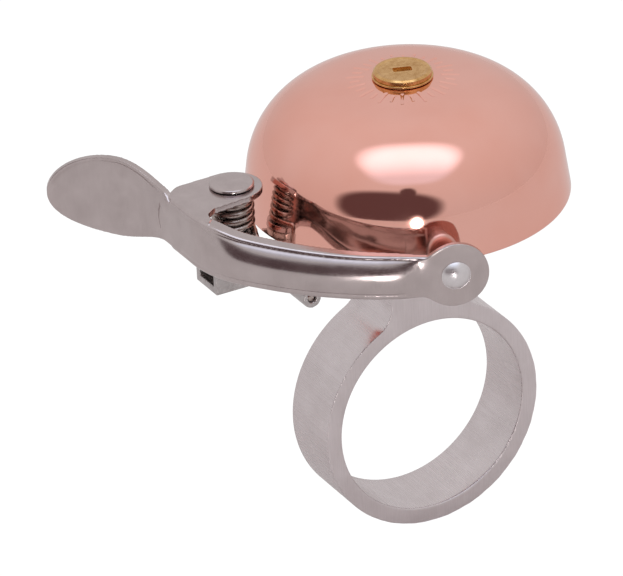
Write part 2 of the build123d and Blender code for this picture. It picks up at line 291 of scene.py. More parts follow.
def through(keys, values, at):
    """Smooth interpolation through key values, with flat ends."""
    values = np.array(values, float)
    slopes = np.gradient(values, keys)
    slopes[0] = slopes[-1] = 0
    i = int(np.clip(np.searchsorted(keys, at) - 1, 0, len(keys) - 2))
    width = keys[i + 1] - keys[i]
    t = min(1.0, max(0.0, (at - keys[i]) / width))
    return ((2 * t ** 3 - 3 * t ** 2 + 1) * values[i] + (t ** 3 - 2 * t ** 2 + t) * width * slopes[i]
            + (3 * t ** 2 - 2 * t ** 3) * values[i + 1] + (t ** 3 - t ** 2) * width * slopes[i + 1])


# ---------------------------------------------------------------- materials
def material(name, metallic=1.0):
    made = bpy.data.materials.new(name)
    made.use_nodes = True
    shader = made.node_tree.nodes["Principled BSDF"]
    shader.inputs["Metallic"].default_value = metallic
    return made, made.node_tree, shader


def node(tree, kind, settings=None, **inputs):
    """A node with its settings. Its inputs, by name or as in0, in1, are set to numbers or linked."""
    made = tree.nodes.new(kind)
    for key, value in (settings or {}).items():
        setattr(made, key, value)
    for key, value in inputs.items():
        socket = made.inputs[int(key[2:])] if key.startswith("in") and key[2:].isdigit() else made.inputs[key]
        if isinstance(value, bpy.types.NodeSocket):
            tree.links.new(value, socket)
        else:
            socket.default_value = value
    return made


def place(tree, stretch=(1, 1, 1)):
    """Positions on the piece, squeezed so that a pattern stretches."""
    where = node(tree, "ShaderNodeTexCoord").outputs["Object"]
    return node(tree, "ShaderNodeMapping", Vector=where, Scale=stretch).outputs["Vector"]


def grain(tree, where, size, detail=3.0, roughness=0.5):
    """Noise whose features are about this size, in metres."""
    return node(tree, "ShaderNodeTexNoise", Vector=where, Scale=1 / size, Detail=detail,
                Roughness=roughness).outputs["Fac"]


def map_range(tree, value, start, end, first, last, kind="LINEAR"):
    """Goes from first to last while the value goes from start to end, and is level outside."""
    ends = {"From Min": start, "From Max": end, "To Min": first, "To Max": last}
    made = node(tree, "ShaderNodeMapRange", {"clamp": True, "interpolation_type": kind}, Value=value, **ends)
    return made.outputs["Result"]


def spread(tree, value, low, high, start=0.3, end=0.7):
    """Maps a pattern's middle range to two values."""
    return map_range(tree, value, start, end, low, high)


def blend_colours(tree, value, first, second, start=0.3, end=0.7):
    """From the first colour to the second while the value goes from start to end."""
    ramp = node(tree, "ShaderNodeValToRGB", Fac=value)
    ramp.color_ramp.elements[0].position = start
    ramp.color_ramp.elements[0].color = (*first, 1)
    ramp.color_ramp.elements[1].position = end
    ramp.color_ramp.elements[1].color = (*second, 1)
    return ramp.outputs["Color"]


def mix(tree, share, first, second):
    return node(tree, "ShaderNodeMix", {"data_type": "FLOAT"}, in0=share, in2=first, in3=second).outputs[0]


def maths(tree, operation, first, second=0.0):
    return node(tree, "ShaderNodeMath", {"operation": operation}, in0=first, in1=second).outputs[0]


def relief(tree, shader, heights):
    """Stacks bumps: each is a pattern and its depth in metres."""
    normal = None
    for height, depth in heights:
        bump = node(tree, "ShaderNodeBump", Height=height, Distance=depth, Strength=1.0)
        if normal is not None:
            tree.links.new(normal, bump.inputs["Normal"])
        normal = bump.outputs["Normal"]
    tree.links.new(normal, shader.inputs["Normal"])


def link(tree, value, socket):
    tree.links.new(value, socket)


def rings(tree, size):
    """Fine lines round the dome's axis, as a lathe or polishing mop leaves them."""
    parts = node(tree, "ShaderNodeSeparateXYZ", Vector=place(tree)).outputs
    flat = node(tree, "ShaderNodeCombineXYZ", X=parts[0], Y=parts[1]).outputs[0]
    radius = node(tree, "ShaderNodeVectorMath", {"operation": "LENGTH"}, in0=flat).outputs["Value"]
    line = node(tree, "ShaderNodeCombineXYZ", X=radius, Y=parts[2]).outputs[0]
    return grain(tree, line, size, detail=2.0)


def copper():
    """Mirror-polished copper plate: slow waves, wiped smudges and hair-fine polishing lines."""
    made, tree, shader = material("copper_mirror")
    here = place(tree)
    tone = grain(tree, here, 9 * mm, detail=2.0)
    colour = blend_colours(tree, tone, (0.93, 0.475, 0.385), (0.95, 0.52, 0.435))
    link(tree, colour, shader.inputs["Base Color"])
    smudge = grain(tree, here, 5 * mm, detail=5.0, roughness=0.6)
    wiped = grain(tree, place(tree, (1, 1, 6)), 0.5 * mm, detail=3.0)
    film = spread(tree, smudge, 0.045, 0.10, 0.42, 0.72)
    rough = maths(tree, "ADD", film, spread(tree, wiped, 0.0, 0.02, 0.45, 0.75))
    link(tree, rough, shader.inputs["Roughness"])
    waves = grain(tree, here, 6 * mm, detail=1.0)
    pits = grain(tree, here, 0.12 * mm, detail=1.0)
    relief(tree, shader, [(waves, 8e-6), (rings(tree, 0.35 * mm), 0.12e-6), (pits, 0.10e-6)])
    return made


def polished_steel(name, dark, light, rough, streak):
    """Nickel-bright steel: soft clouding, fine streaks one way and fine pits."""
    made, tree, shader = material(name)
    here = place(tree)
    cloud = grain(tree, here, 3 * mm, detail=4.0)
    lines = grain(tree, place(tree, streak), 0.16 * mm, detail=4.0, roughness=0.6)
    colour = blend_colours(tree, mix(tree, 0.35, cloud, lines), dark, light, 0.35, 0.65)
    link(tree, colour, shader.inputs["Base Color"])
    clouded = spread(tree, cloud, rough[0], rough[1], 0.35, 0.65)
    lined = spread(tree, lines, rough[0], rough[1] * 1.2)
    link(tree, mix(tree, 0.5, clouded, lined), shader.inputs["Roughness"])
    waves = grain(tree, here, 2.2 * mm, detail=2.0)
    pits = grain(tree, here, 0.06 * mm, detail=2.0)
    relief(tree, shader, [(waves, 3e-6), (lines, 0.25e-6), (pits, 0.0875e-6)])
    return made


def turned_brass():
    """Brass with lathe rings and tarnish."""
    made, tree, shader = material("turned_brass")
    tarnish = grain(tree, place(tree), 0.9 * mm, detail=5.0, roughness=0.65)
    lathe = rings(tree, 0.07 * mm)
    tone = mix(tree, 0.3, tarnish, lathe)
    colour = blend_colours(tree, tone, (0.52, 0.27, 0.08), (0.80, 0.50, 0.22), 0.35, 0.6)
    link(tree, colour, shader.inputs["Base Color"])
    link(tree, spread(tree, tarnish, 0.32, 0.16), shader.inputs["Roughness"])
    relief(tree, shader, [(lathe, 1.2e-6), (tarnish, 2e-6)])
    return made


def ring_aluminium():
    """Drawn outside and bore with lines along the bore, and sawn end faces with lines across."""
    made, tree, shader = material("ring_aluminium")
    normal = node(tree, "ShaderNodeNewGeometry").outputs["Normal"]
    facing = node(tree, "ShaderNodeSeparateXYZ", Vector=normal).outputs[1]
    sawn = spread(tree, maths(tree, "ABSOLUTE", facing), 0.0, 1.0, 0.6, 0.8)
    drawn_lines = grain(tree, place(tree, (1, 0.03, 1)), 0.22 * mm, detail=4.0, roughness=0.6)
    saw_lines = grain(tree, place(tree, (1, 1, 0.05)), 0.16 * mm, detail=4.0, roughness=0.65)
    lines = mix(tree, sawn, drawn_lines, saw_lines)
    cloud = grain(tree, place(tree), 4 * mm, detail=4.0)
    tone = mix(tree, 0.55, cloud, lines)
    colour = blend_colours(tree, tone, (0.66, 0.60, 0.605), (0.76, 0.70, 0.71), 0.35, 0.65)
    link(tree, colour, shader.inputs["Base Color"])
    rough = mix(tree, sawn, spread(tree, lines, 0.20, 0.34), spread(tree, lines, 0.34, 0.46))
    link(tree, rough, shader.inputs["Roughness"])
    relief(tree, shader, [(cloud, 2e-6), (drawn_lines, 1.2e-6), (saw_lines, 1.6e-6)])
    return made


def drawn_wire():
    """Spring wire with patches of drawing scale."""
    made, tree, shader = material("spring_wire")
    patches = grain(tree, place(tree), 0.5 * mm, detail=5.0, roughness=0.6)
    colour = blend_colours(tree, patches, (0.30, 0.235, 0.21), (0.52, 0.45, 0.42), 0.35, 0.65)
    link(tree, colour, shader.inputs["Base Color"])
    link(tree, spread(tree, patches, 0.30, 0.18), shader.inputs["Roughness"])
    relief(tree, shader, [(patches, 2e-6)])
    return made


def plated_steel(name, dark, light, rough):
    """Satin plated steel with a fine grain and clouding."""
    made, tree, shader = material(name)
    here = place(tree)
    cloud = grain(tree, here, 2.5 * mm, detail=4.0)
    fine = grain(tree, here, 0.35 * mm, detail=4.0, roughness=0.6)
    colour = blend_colours(tree, mix(tree, 0.4, cloud, fine), dark, light, 0.38, 0.62)
    link(tree, colour, shader.inputs["Base Color"])
    link(tree, spread(tree, fine, rough[0], rough[1]), shader.inputs["Roughness"])
    relief(tree, shader, [(cloud, 4e-6), (fine, 2.5e-6)])
    return made


def pressed_fibre():
    """Dark felted washer board."""
    made, tree, shader = material("pressed_fibre", metallic=0.0)
    felt = grain(tree, place(tree), 0.15 * mm, detail=5.0, roughness=0.7)
    colour = blend_colours(tree, felt, (0.05, 0.035, 0.028), (0.12, 0.085, 0.065))
    link(tree, colour, shader.inputs["Base Color"])
    link(tree, spread(tree, felt, 0.6, 0.85), shader.inputs["Roughness"])
    relief(tree, shader, [(felt, 15e-6)])
    return made


copper_finish = copper()
brass_finish = turned_brass()
lever_finish = polished_steel(
    "lever_nickel", (0.50, 0.435, 0.43), (0.585, 0.515, 0.51), (0.14, 0.22), streak=(1, 1, 0.06))
knob_finish = polished_steel(
    "knob_chrome", (0.70, 0.67, 0.68), (0.80, 0.77, 0.78), (0.26, 0.36), streak=(1, 1, 0.5))
bracket_finish = plated_steel("stamped_steel", (0.42, 0.385, 0.38), (0.58, 0.545, 0.54), (0.24, 0.38))
zinc_finish = plated_steel("zinc_plate", (0.52, 0.50, 0.48), (0.68, 0.66, 0.63), (0.26, 0.42))
ring_finish = ring_aluminium()
wire_finish = drawn_wire()
fibre_finish = pressed_fibre()


def dress(obj, finish, slot, body, *nodes):
    """Finish, slot (not used), body and the CAD nodes that the piece stands for."""
    obj.data.materials.clear()
    obj.data.materials.append(finish)
    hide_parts(*nodes)
    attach(obj, body)


# ---------------------------------------------------------------- dome
skirt_angle = math.atan2(skirt_lean, skirt_height)
shoulder_x = rim_radius - skirt_lean - shoulder_radius * math.cos(skirt_angle)
shoulder_h = skirt_height - shoulder_radius * math.sin(skirt_angle)
crown_drop = shoulder_h - dome_crown
crown_radius = ((shoulder_radius ** 2 - shoulder_x ** 2 - crown_drop ** 2)
                / (2 * (crown_drop + shoulder_radius)))
crown_h = dome_crown - crown_radius
join_angle = math.atan2(shoulder_h - crown_h, shoulder_x)

tick_count = 30
tick_depth = 0.13 * mm
tick_width = 0.24 * mm
tick_middle = 6.5 * mm
tick_long = 1.25 * mm
tick_short = 0.7 * mm
tick_fade = 0.25 * mm


def dome_outline(inset, steps):
    """Rim to hole edge of the shell, inset by a wall: (radius, height above the rim)."""
    shoulder = shoulder_radius - inset
    crown = crown_radius - inset
    top = (shoulder_x + shoulder * math.cos(skirt_angle), shoulder_h + shoulder * math.sin(skirt_angle))
    rim = (top[0] + top[1] * math.tan(skirt_angle), 0.0)
    points = [(rim[0] + (top[0] - rim[0]) * t, top[1] * t) for t in (0, 0.3, 0.65)]
    for a in np.linspace(skirt_angle, join_angle, steps):
        points.append((shoulder_x + shoulder * math.cos(a), shoulder_h + shoulder * math.sin(a)))
    end = math.acos(dome_hole / crown)
    for a in np.linspace(join_angle, end, 2 * steps)[1:]:
        points.append((crown * math.cos(a), crown_h + crown * math.sin(a)))
    return points


def build_dome():
    outer = dome_outline(0, 48)
    inner = dome_outline(dome_wall, 24)
    corners = [(r, h, 0) for r, h in outer] + [(r, h, 0) for r, h in reversed(inner)]
    corners[0] = (*outer[0], dome_edge)
    corners[-1] = (*inner[0], dome_edge)
    outline = [(p.x, rim_z + p.y) for p in rounded(corners)]
    obj = revolved("dome_shell", outline, turns=480)
    # a generic ring of engraved ticks, long and short in turn
    co = np.empty(len(obj.data.vertices) * 3)
    obj.data.vertices.foreach_get("co", co)
    co = co.reshape(-1, 3)
    radius = np.hypot(co[:, 0], co[:, 1])
    step = np.arctan2(co[:, 1], co[:, 0]) * tick_count / (2 * math.pi)
    nearest = np.round(step)
    across = (step - nearest) * 2 * math.pi * radius / tick_count / tick_width
    half_length = np.where(nearest % 2 == 0, tick_long, tick_short)
    along = np.clip((half_length - np.abs(radius - tick_middle)) / tick_fade + 0.5, 0, 1)
    mid_wall = np.sqrt(np.maximum(0, (crown_radius - dome_wall / 2) ** 2 - radius ** 2))
    outside = co[:, 2] > rim_z + crown_h + mid_wall
    groove = np.exp(-across ** 2) * (1 - 0.9 * across ** 2) * along * along * (3 - 2 * along)
    co[:, 2] -= np.where(outside, groove * tick_depth, 0)
    obj.data.vertices.foreach_set("co", co.ravel())
    smooth(obj, 60)
    dress(obj, copper_finish, "dome_copper", "base", "dome")


build_dome()


# ---------------------------------------------------------------- dome fixings
def build_dome_screw():
    """A turned cheese head with a raised lip round its face and a short slot."""
    low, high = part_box("dome_screw")
    head_low = high.z - screw_head_height
    outline = rounded([
        (0, low.z, 0), (screw_shank - 0.3 * mm, low.z, 0), (screw_shank, low.z + 0.3 * mm, 0),
        (screw_shank, head_low, 0), (screw_head, head_low, 0.08 * mm),
        (screw_head, high.z - 0.22 * mm, 0.04 * mm), (screw_head - 0.26 * mm, high.z, 0.06 * mm),
        (screw_head - 0.62 * mm, high.z, 0.05 * mm), (screw_head - 0.75 * mm, high.z - 0.06 * mm, 0.05 * mm),
        (0, high.z - 0.04 * mm, 0)], steps=4)
    obj = revolved("dome_screw_turned", outline, turns=160)
    slot = rounded([(x * slot_half_length, y * slot_half_width, 0.22 * mm)
                    for x, y in ((-1, -1), (1, -1), (1, 1), (-1, 1))])
    slot = [Matrix.Rotation(slot_turn, 2) @ p for p in slot]
    cut(obj, prism("slot", slot, high.z - slot_depth, high.z + 1 * mm))
    clean(obj)
    smooth(obj, 30)
    dress(obj, brass_finish, "brass", "base", "dome_screw")


def build_washer(name, cad_node, hole, finish, slot, edge):
    """A flat washer or bush with softened edges, on a vertical axis."""
    low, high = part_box(cad_node)
    middle = (low + high) / 2
    radius = (high.x - low.x) / 2
    outline = rounded([(hole, low.z, edge), (radius, low.z, edge), (radius, high.z, edge),
                       (hole, high.z, edge)], 4)
    obj = revolved(name, outline, turns=96, origin=Vector((middle.x, middle.y, 0)))
    smooth(obj, 30)
    dress(obj, finish, slot, "base", cad_node)


build_dome_screw()
build_washer("dome_top_washer_pressed", "dome_top_washer", dome_hole, brass_finish, "brass", 0.09 * mm)
build_washer("dome_seat_washer_pressed", "dome_seat_washer", dome_hole, fibre_finish, "fibre", 0.12 * mm)
build_washer("pivot_thrust_washer_pressed", "pivot_thrust_washer", pivot_bore, zinc_finish, "zinc_steel",
             0.1 * mm)
build_washer("pivot_bush_turned", "pivot_bush", bush_bore, zinc_finish, "zinc_steel", 0.05 * mm)


# ---------------------------------------------------------------- spacer ring
def build_ring():
    """Swept round the bore: outside, fillets and lug of the extrusion, with sawn, slightly burred ends."""
    fillet_x = lug_half + lug_fillet
    fillet_z = math.sqrt((ring_radius + lug_fillet) ** 2 - fillet_x ** 2)
    join = math.atan2(fillet_z, fillet_x)
    side_top = lug_top - lug_edge
    bevel = 0.09 * mm
    # once round from the left fillet's foot, under the ring and up over the lug
    outline = []
    for a in np.linspace(math.pi - join, 2 * math.pi + join, 241):
        outline.append((ring_radius * math.cos(a), ring_radius * math.sin(a)))
    for a in np.linspace(join + math.pi, math.pi, 13)[1:]:
        outline.append((fillet_x + lug_fillet * math.cos(a), fillet_z + lug_fillet * math.sin(a)))
    for z in np.linspace(fillet_z, side_top, 8)[1:]:
        outline.append((lug_half, z))
    outline.append((lug_half - bevel, lug_top - bevel))
    for x in np.linspace(lug_half - lug_edge, lug_edge - lug_half, 16):
        outline.append((x, lug_top))
    outline.append((bevel - lug_half, lug_top - bevel))
    for z in np.linspace(side_top, fillet_z, 8):
        outline.append((-lug_half, z))
    for a in np.linspace(0, -join, 13)[1:-1]:
        outline.append((-fillet_x + lug_fillet * math.cos(a), fillet_z + lug_fillet * math.sin(a)))
    sections = []
    for x, z in outline:
        outer = math.hypot(x, z)
        a = math.atan2(z, x)
        burr = (0.13 + 0.04 * math.sin(23 * a + 1) + 0.03 * math.sin(57 * a)) * mm
        loop = rounded([(outer, -ring_half, burr), (outer, ring_half, 0.14 * mm),
                        (bore_radius, ring_half, ring_edge), (bore_radius, -ring_half, ring_edge)], 3)
        across = []
        for i, p in enumerate(loop):
            gap = loop[(i + 1) % len(loop)] - p
            parts = 6 if gap.length > 1 * mm else 1
            across += [p + gap * k / parts for k in range(parts)]
        sections.append([Vector((p.x * math.cos(a), p.y, p.x * math.sin(a))) for p in across])
    points = [p for section in sections for p in section]
    obj = mesh_object("spacer_ring_sawn", points, strip_faces(len(sections), len(sections[0]), True))
    hole_low, hole_high = lug_top - stud_hole_depth, lug_top + 1 * mm
    hole = [(0, hole_low), (stud_hole, hole_low), (stud_hole, hole_high), (0, hole_high)]
    cut(obj, revolved("hole", hole, turns=64))
    smooth(obj, 40)
    dress(obj, ring_finish, "ring_aluminium", "base", "spacer_ring")


build_ring()


# ---------------------------------------------------------------- bracket and hidden hardware
def soften_node(name, cad_node, finish, slot, voxel, rounds):
    """A copy of a CAD node with worn edges."""
    obj = bpy.data.objects.new(name, frame["nodes"][cad_node].data.copy())
    bpy.context.scene.collection.objects.link(obj)
    clean(obj, 1e-6)
    fuse(obj, voxel, rounds)
    smooth(obj, 60)
    dress(obj, finish, slot, "base", cad_node)


soften_node("base_bracket_stamped", "base_bracket", bracket_finish, "stamped_steel", 0.11 * mm, 14)
soften_node("lock_washer_pressed", "lock_washer", zinc_finish, "zinc_steel", 0.11 * mm, 4)
soften_node("bell_post_turned", "bell_post", zinc_finish, "zinc_steel", 0.14 * mm, 4)


# ---------------------------------------------------------------- lever
arm_start_x = web_x + bend_radius * (1 - math.cos(bend_angle))
arm_start_y = bend_y - bend_radius * math.sin(bend_angle)
bend_start = neck_y - bend_y
arm_start = bend_start + bend_radius * bend_angle


def arm_length(degrees):
    """Distance along the lever, from the neck, to where the arm points this way."""
    return arm_start + arm_radius * (math.radians(degrees) - bend_angle)


disc_at = arm_start + arm_radius * (disc_angle - bend_angle)
disc_out = Vector((-math.cos(disc_angle), -math.sin(disc_angle), 0))


def lever_line(at):
    """Point and section angle of the web's outer face, this far from the neck towards the hammer."""
    if at < bend_start:
        return web_x, neck_y - at, 0.0
    if at < arm_start:
        a = (at - bend_start) / bend_radius
        return web_x + bend_radius * (1 - math.cos(a)), bend_y - bend_radius * math.sin(a), a
    a = min(disc_angle, bend_angle + (at - arm_start) / arm_radius)
    x = arm_start_x + arm_radius * (math.cos(bend_angle) - math.cos(a))
    y = arm_start_y - arm_radius * (math.sin(a) - math.sin(bend_angle))
    past = max(0.0, at - disc_at)
    return x + past * math.sin(a), y - past * math.cos(a), a


def on_lever(at, inward, z):
    """A point this far along the lever, this far in from its outer face, at this height."""
    x, y, a = lever_line(at)
    return Vector((x + inward * math.cos(a), y + inward * math.sin(a), z))


# the folded band: distance from the neck, underside and top above the rim, reach of the folded edges,
# radius of the top fold, and share of the arm's full bulge
band = np.array([
    (0.9 * mm, 0.65 * mm, 8.35 * mm, 0.95 * mm, 0.50 * mm, 0.0),
    (bend_start - 5 * mm, 0.65 * mm, 8.35 * mm, 1.6 * mm, 0.55 * mm, 0.0),
    (bend_start, 0.65 * mm, 8.35 * mm, 1.8 * mm, 0.60 * mm, 0.05),
    (bend_start + 2.4 * mm, 0.6 * mm, 8.3 * mm, 1.8 * mm, 0.60 * mm, 0.18),
    (bend_start + bend_radius * math.radians(22), 0.5 * mm, 8.0 * mm, 1.9 * mm, 0.55 * mm, 0.45),
    (arm_start, 0.1 * mm, 7.0 * mm, 1.9 * mm, 0.50 * mm, 0.90),
    (arm_length(53), -0.8 * mm, 5.8 * mm, 1.9 * mm, 0.45 * mm, 1.0),
    (arm_length(60), -1.4 * mm, 4.95 * mm, 1.8 * mm, 0.40 * mm, 0.97),
    (arm_length(66), -1.75 * mm, 4.5 * mm, 1.5 * mm, 0.35 * mm, 0.80),
    (arm_length(70.9), -1.7 * mm, 4.3 * mm, 0.95 * mm, 0.30 * mm, 0.0)])
top_crease = 0.06 * mm
low_crease = 0.13 * mm
crease_width = 0.16 * mm
crease_limit = 0.97
band_sink = 0.12 * mm         # the band's end slips behind the hammer disc's sheet
low_fold = 0.9 * mm
least_fold = 0.1 * mm
fold_fade = 1.3 * mm


def bulge(v, half):
    """The web's section leans back towards its top edge and bulges outward: v runs from -1 to 1."""
    return half * (0.14 * v + 0.34 * v * v - 0.22)


def band_section(at):
    """Closed section of the folded band: outer face from top flange to bottom flange, then the inner face."""
    low, high, reach, top_fold, share = [through(band[:, 0], band[:, k], at) for k in range(1, 6)]
    low += rim_z
    high += rim_z
    middle = (high - top_fold + low + low_fold) / 2
    half = (high - top_fold - low - low_fold) / 2
    skin = []
    for inset in (0, lever_sheet):
        top_arc = max(least_fold, top_fold - inset)
        low_arc = max(least_fold, low_fold - inset)
        top, bottom = high - inset, low + inset
        quarter = np.linspace(0, math.pi / 2, 9)
        face = [(reach, top), (reach * 0.6 + 0.4 * (inset + top_arc), top)]
        for t in quarter:
            face.append((inset + top_arc * (1 - math.sin(t)), top - top_arc * (1 - math.cos(t))))
        upper, lower = top - top_arc, bottom + low_arc
        for t in np.linspace(0, 1, 34)[1:-1]:
            face.append((inset, upper + (lower - upper) * t))
        for t in quarter:
            face.append((inset + low_arc * (1 - math.cos(t)), bottom + low_arc * (1 - math.sin(t))))
        face += [(reach * 0.6 + 0.4 * (inset + low_arc), bottom), (reach, bottom)]
        shaped = []
        for i, z in face:
            v = (z - middle) / half
            fade = 1 - ease((i - inset) / fold_fade)
            i += share * bulge(min(1.0, max(-1.0, v)), half)
            i += band_sink * ease((at - band[-2, 0]) / (band[-1, 0] - band[-2, 0]))
            if inset == 0:
                for edge, crease_depth in ((-crease_limit, low_crease), (crease_limit, top_crease)):
                    i += crease_depth * fade * math.exp(-((v - edge) * half / crease_width) ** 2)
            shaped.append(on_lever(at, i, z))
        skin.append(shaped)
    return skin[0] + skin[1][::-1]


def build_band():
    steps = np.linspace(band[0, 0], band[-1, 0], 150)
    return lofted("band", [band_section(at) for at in steps])


disc_flare = 0.55 * mm
disc_run = 2.2 * mm           # the disc's sheet starts this far before its circle, behind the band's skin
disc_sink = 0.15 * mm


def disc_half(at):
    """Half height of the flat end: the hammer disc, with a concave flare into the arm."""
    off = at - disc_at
    circle = math.sqrt(max(0.0, disc_radius ** 2 - off ** 2))
    if off > 0:
        return circle
    low, high = [through(band[:, 0], band[:, k], at) for k in (1, 2)]
    arm = (high - low) / 2 - 0.25 * mm
    return disc_flare * math.log(math.exp(arm / disc_flare) + math.exp(circle / disc_flare))


def build_disc():
    sections = []
    first = disc_at - disc_radius - disc_run
    first_z = rim_z + through(band[:, 0], (band[:, 1] + band[:, 2]) / 2, first)
    tip = 0.9 + 0.0999 * np.sin(np.linspace(0, math.pi / 2, 24)[1:])
    for t in np.concatenate([np.linspace(0, 0.9, 60), tip]):
        at = first + (disc_at + disc_radius - first) * t
        half = disc_half(at)
        middle = through([first, disc_at - 1.5 * mm, disc_at], [first_z, disc_z, disc_z], at)
        share = through(band[:, 0], band[:, 5], at) if at < band[-1, 0] else 0.0
        sunk = disc_sink * (1 - ease((at - first) / (3.2 * mm)))
        face = []
        for inset in (sunk, sunk + lever_sheet):
            face.append([on_lever(at, inset + share * bulge(v, half), middle + half * v)
                         for v in np.linspace(1, -1, 25)])
        sections.append(face[0] + face[1][::-1])
    return lofted("disc", sections)


def paddle_half_height(length):
    """Half height of the leaf: a cosine out of the neck and an ellipse to the tip."""
    widest = paddle_length * 0.51
    if length < widest:
        share = 0.5 - 0.5 * math.cos(math.pi * max(0.0, length) / widest)
        return neck_half + (paddle_half - neck_half) * share
    return paddle_half * math.sqrt(max(0.0, 1 - ((length - widest) / (paddle_length - widest)) ** 2))


paddle_lap = 3 * mm           # the paddle's sheet runs on into the band
root_drop = 1.4 * mm          # and is lower there, below the upper tab
rim_width = 0.34 * mm
rim_wall = 0.55 * mm
recess = 0.30 * mm            # deep under the tip's upper edge, shallow along the lower edge
shallow_recess = 0.02 * mm
thumb_dish = 0.22 * mm
dent_at = 2.6 * mm            # a short curved press mark across the paddle's root
dent_z = rim_z + 4.6 * mm
dent_half = 1.8 * mm
dent_bow = 0.5 * mm
dent_depth = 0.20 * mm
dent_width = 0.28 * mm


def build_paddle():
    """The thumb pad: a leaf swept away from the dome, with a recessed face inside a raised rim."""
    edge = [(t * paddle_length, paddle_half_height(t * paddle_length)) for t in np.linspace(0.15, 1, 160)]
    edge = np.array(edge + [(x, -z) for x, z in edge])
    sections = []
    for share in np.sin(np.linspace(0, math.pi / 2, 230)):
        length = -paddle_lap + (paddle_length + paddle_lap) * (share * 0.9995)
        a = max(0.0, length) / paddle_radius
        x = web_x - paddle_radius * (1 - math.cos(a))
        y = neck_y + paddle_radius * math.sin(a) + min(0.0, length)
        inward = Vector((math.cos(a), math.sin(a), 0))
        half = max(0.02 * mm, paddle_half_height(length))
        start = ease((length - 1.0 * mm) / (5 * mm))
        lowered = root_drop * (1 - ease((length + 1.6 * mm) / (2.4 * mm)))
        front, back = [], []
        for v in np.sin(np.linspace(math.pi / 2, -math.pi / 2, 61)):
            z = half * v - lowered * max(0.0, v)
            # distance from the leaf's edge
            away = np.hypot(edge[:, 0] - length, edge[:, 1] - z).min() if length > 0 else 9 * mm
            away = min(away, half * (1 - abs(v)) + 0.02 * mm)
            lift = ease((0.9 * v + 0.3 * share - 0.25) / 0.95)
            deep = shallow_recess + (recess - shallow_recess) * lift
            depth = deep * ease((away - rim_width) / rim_wall) * start
            depth += thumb_dish * ease(away / paddle_half) * start
            up = (paddle_mid_z + z - dent_z) / dent_half
            off = (length - dent_at + dent_bow * up * up) / dent_width
            depth += dent_depth * math.exp(-off * off) * ease(1.6 * (1.3 - abs(up)))
            front.append(Vector((x, y, paddle_mid_z + z)) + inward * depth)
            back.append(Vector((x, y, paddle_mid_z + z)) + inward * (depth + lever_sheet))
        sections.append(front + back[::-1])
    return lofted("paddle", sections)


def tab_outline(radius, lap):
    """Plan of a pivot tab: a waisted plate that laps the web's fold, with a round end about the pivot."""
    fold = web_x + 0.6 * mm
    corners = [(fold + 0.65 * mm, -8.0 * mm, 0), (fold + 0.3 * mm, -6.5 * mm, 0), (fold, -4.5 * mm, 0),
               (fold - lap, 1.0 * mm, 0), (fold - lap, 1.9 * mm + lap, 0.2 * mm),
               (web_x + 2.55 * mm, radius - 0.25 * mm, 2.0 * mm)]
    for a in np.linspace(math.radians(95), math.radians(-92), 48):
        corners.append((pivot.x + radius * math.cos(a), radius * math.sin(a), 0))
    corners += [(pivot.x - 5.1 * mm, -radius - 0.40 * mm, 1.5 * mm), (web_x + 2.35 * mm, -5.7 * mm, 0.9 * mm),
                (web_x + 2.0 * mm, -7.3 * mm, 0.5 * mm)]
    return rounded(corners)


def build_lever():
    """Band, disc, paddle and tabs merged into one folded sheet, with its two holes."""
    upper_tab = prism("upper_tab", tab_outline(top_tab_radius, 0.3 * mm), tab_top - lever_sheet, tab_top)
    lower_tab = prism("lower_tab", tab_outline(bottom_tab_radius, 0.0), tab_bottom, tab_bottom + lever_sheet)
    obj = join("lever_folded", [build_band(), build_disc(), build_paddle(), upper_tab, lower_tab])
    fuse(obj, 0.1 * mm, 5)
    top = rim_z + dome_crown
    bore_outline = [(0, rim_z), (pivot_bore, rim_z), (pivot_bore, top), (0, top)]
    cut(obj, revolved("hole", bore_outline, 64, Vector((pivot.x, 0, 0))))
    shank = button_shank + shank_play
    shank_outline = [(0, -3 * mm), (shank, -3 * mm), (shank, 3 * mm), (0, 3 * mm)]
    cut(obj, revolved("hole", shank_outline, 48, on_lever(disc_at, 0, disc_z), disc_out))
    smooth(obj, 50)
    dress(obj, lever_finish, "lever_steel", "lever", "lever")


build_lever()


# ---------------------------------------------------------------- pivot rivet
def build_pivot_rivet():
    """A shank with a large low head above and a riveted-over end below."""
    low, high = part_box("pivot_rivet")
    under = high.z - rivet_head_height
    end_top = low.z + 0.35 * mm
    crown = 0.30 * mm
    edge = 0.12 * mm
    outline = [(0, low.z), (1.45 * mm, low.z), (1.75 * mm, low.z + 0.1 * mm), (1.9 * mm, end_top),
               (rivet_shank, end_top), (rivet_shank, under), (rivet_head - edge, under),
               (rivet_head, under + edge), (rivet_head, under + 0.3 * mm)]
    outline += [(rivet_head * math.sin(t) * 0.97, high.z - crown + crown * math.cos(t) ** 0.7)
                for t in np.linspace(math.radians(84), 0, 22)]
    obj = revolved("pivot_rivet_headed", outline, 128, Vector((pivot.x, 0, 0)))
    smooth(obj, 40)
    dress(obj, lever_finish, "lever_steel", "base", "pivot_rivet")


build_pivot_rivet()


# ---------------------------------------------------------------- hammer
def build_hammer_rivet():
    """The domed button on the disc, with its shank through the sheet into the knob."""
    ball = (button_radius ** 2 + button_height ** 2) / (2 * button_height)
    span = math.asin(min(1.0, button_radius / ball))
    end = -lever_sheet - 2.5 * mm
    outline = [(0, end), (button_shank, end), (button_shank, 0), (button_radius - 0.05 * mm, 0.0),
               (button_radius, 0.06 * mm)]
    outline += [(ball * math.sin(t), button_height - ball * (1 - math.cos(t)))
                for t in np.linspace(span * 0.97, 0, 20)]
    rivet = revolved("hammer_rivet_headed", outline, 96, on_lever(disc_at, 0, disc_z), disc_out)
    smooth(rivet, 35)
    dress(rivet, knob_finish, "knob_steel", "lever", "hammer_rivet")


build_hammer_rivet()

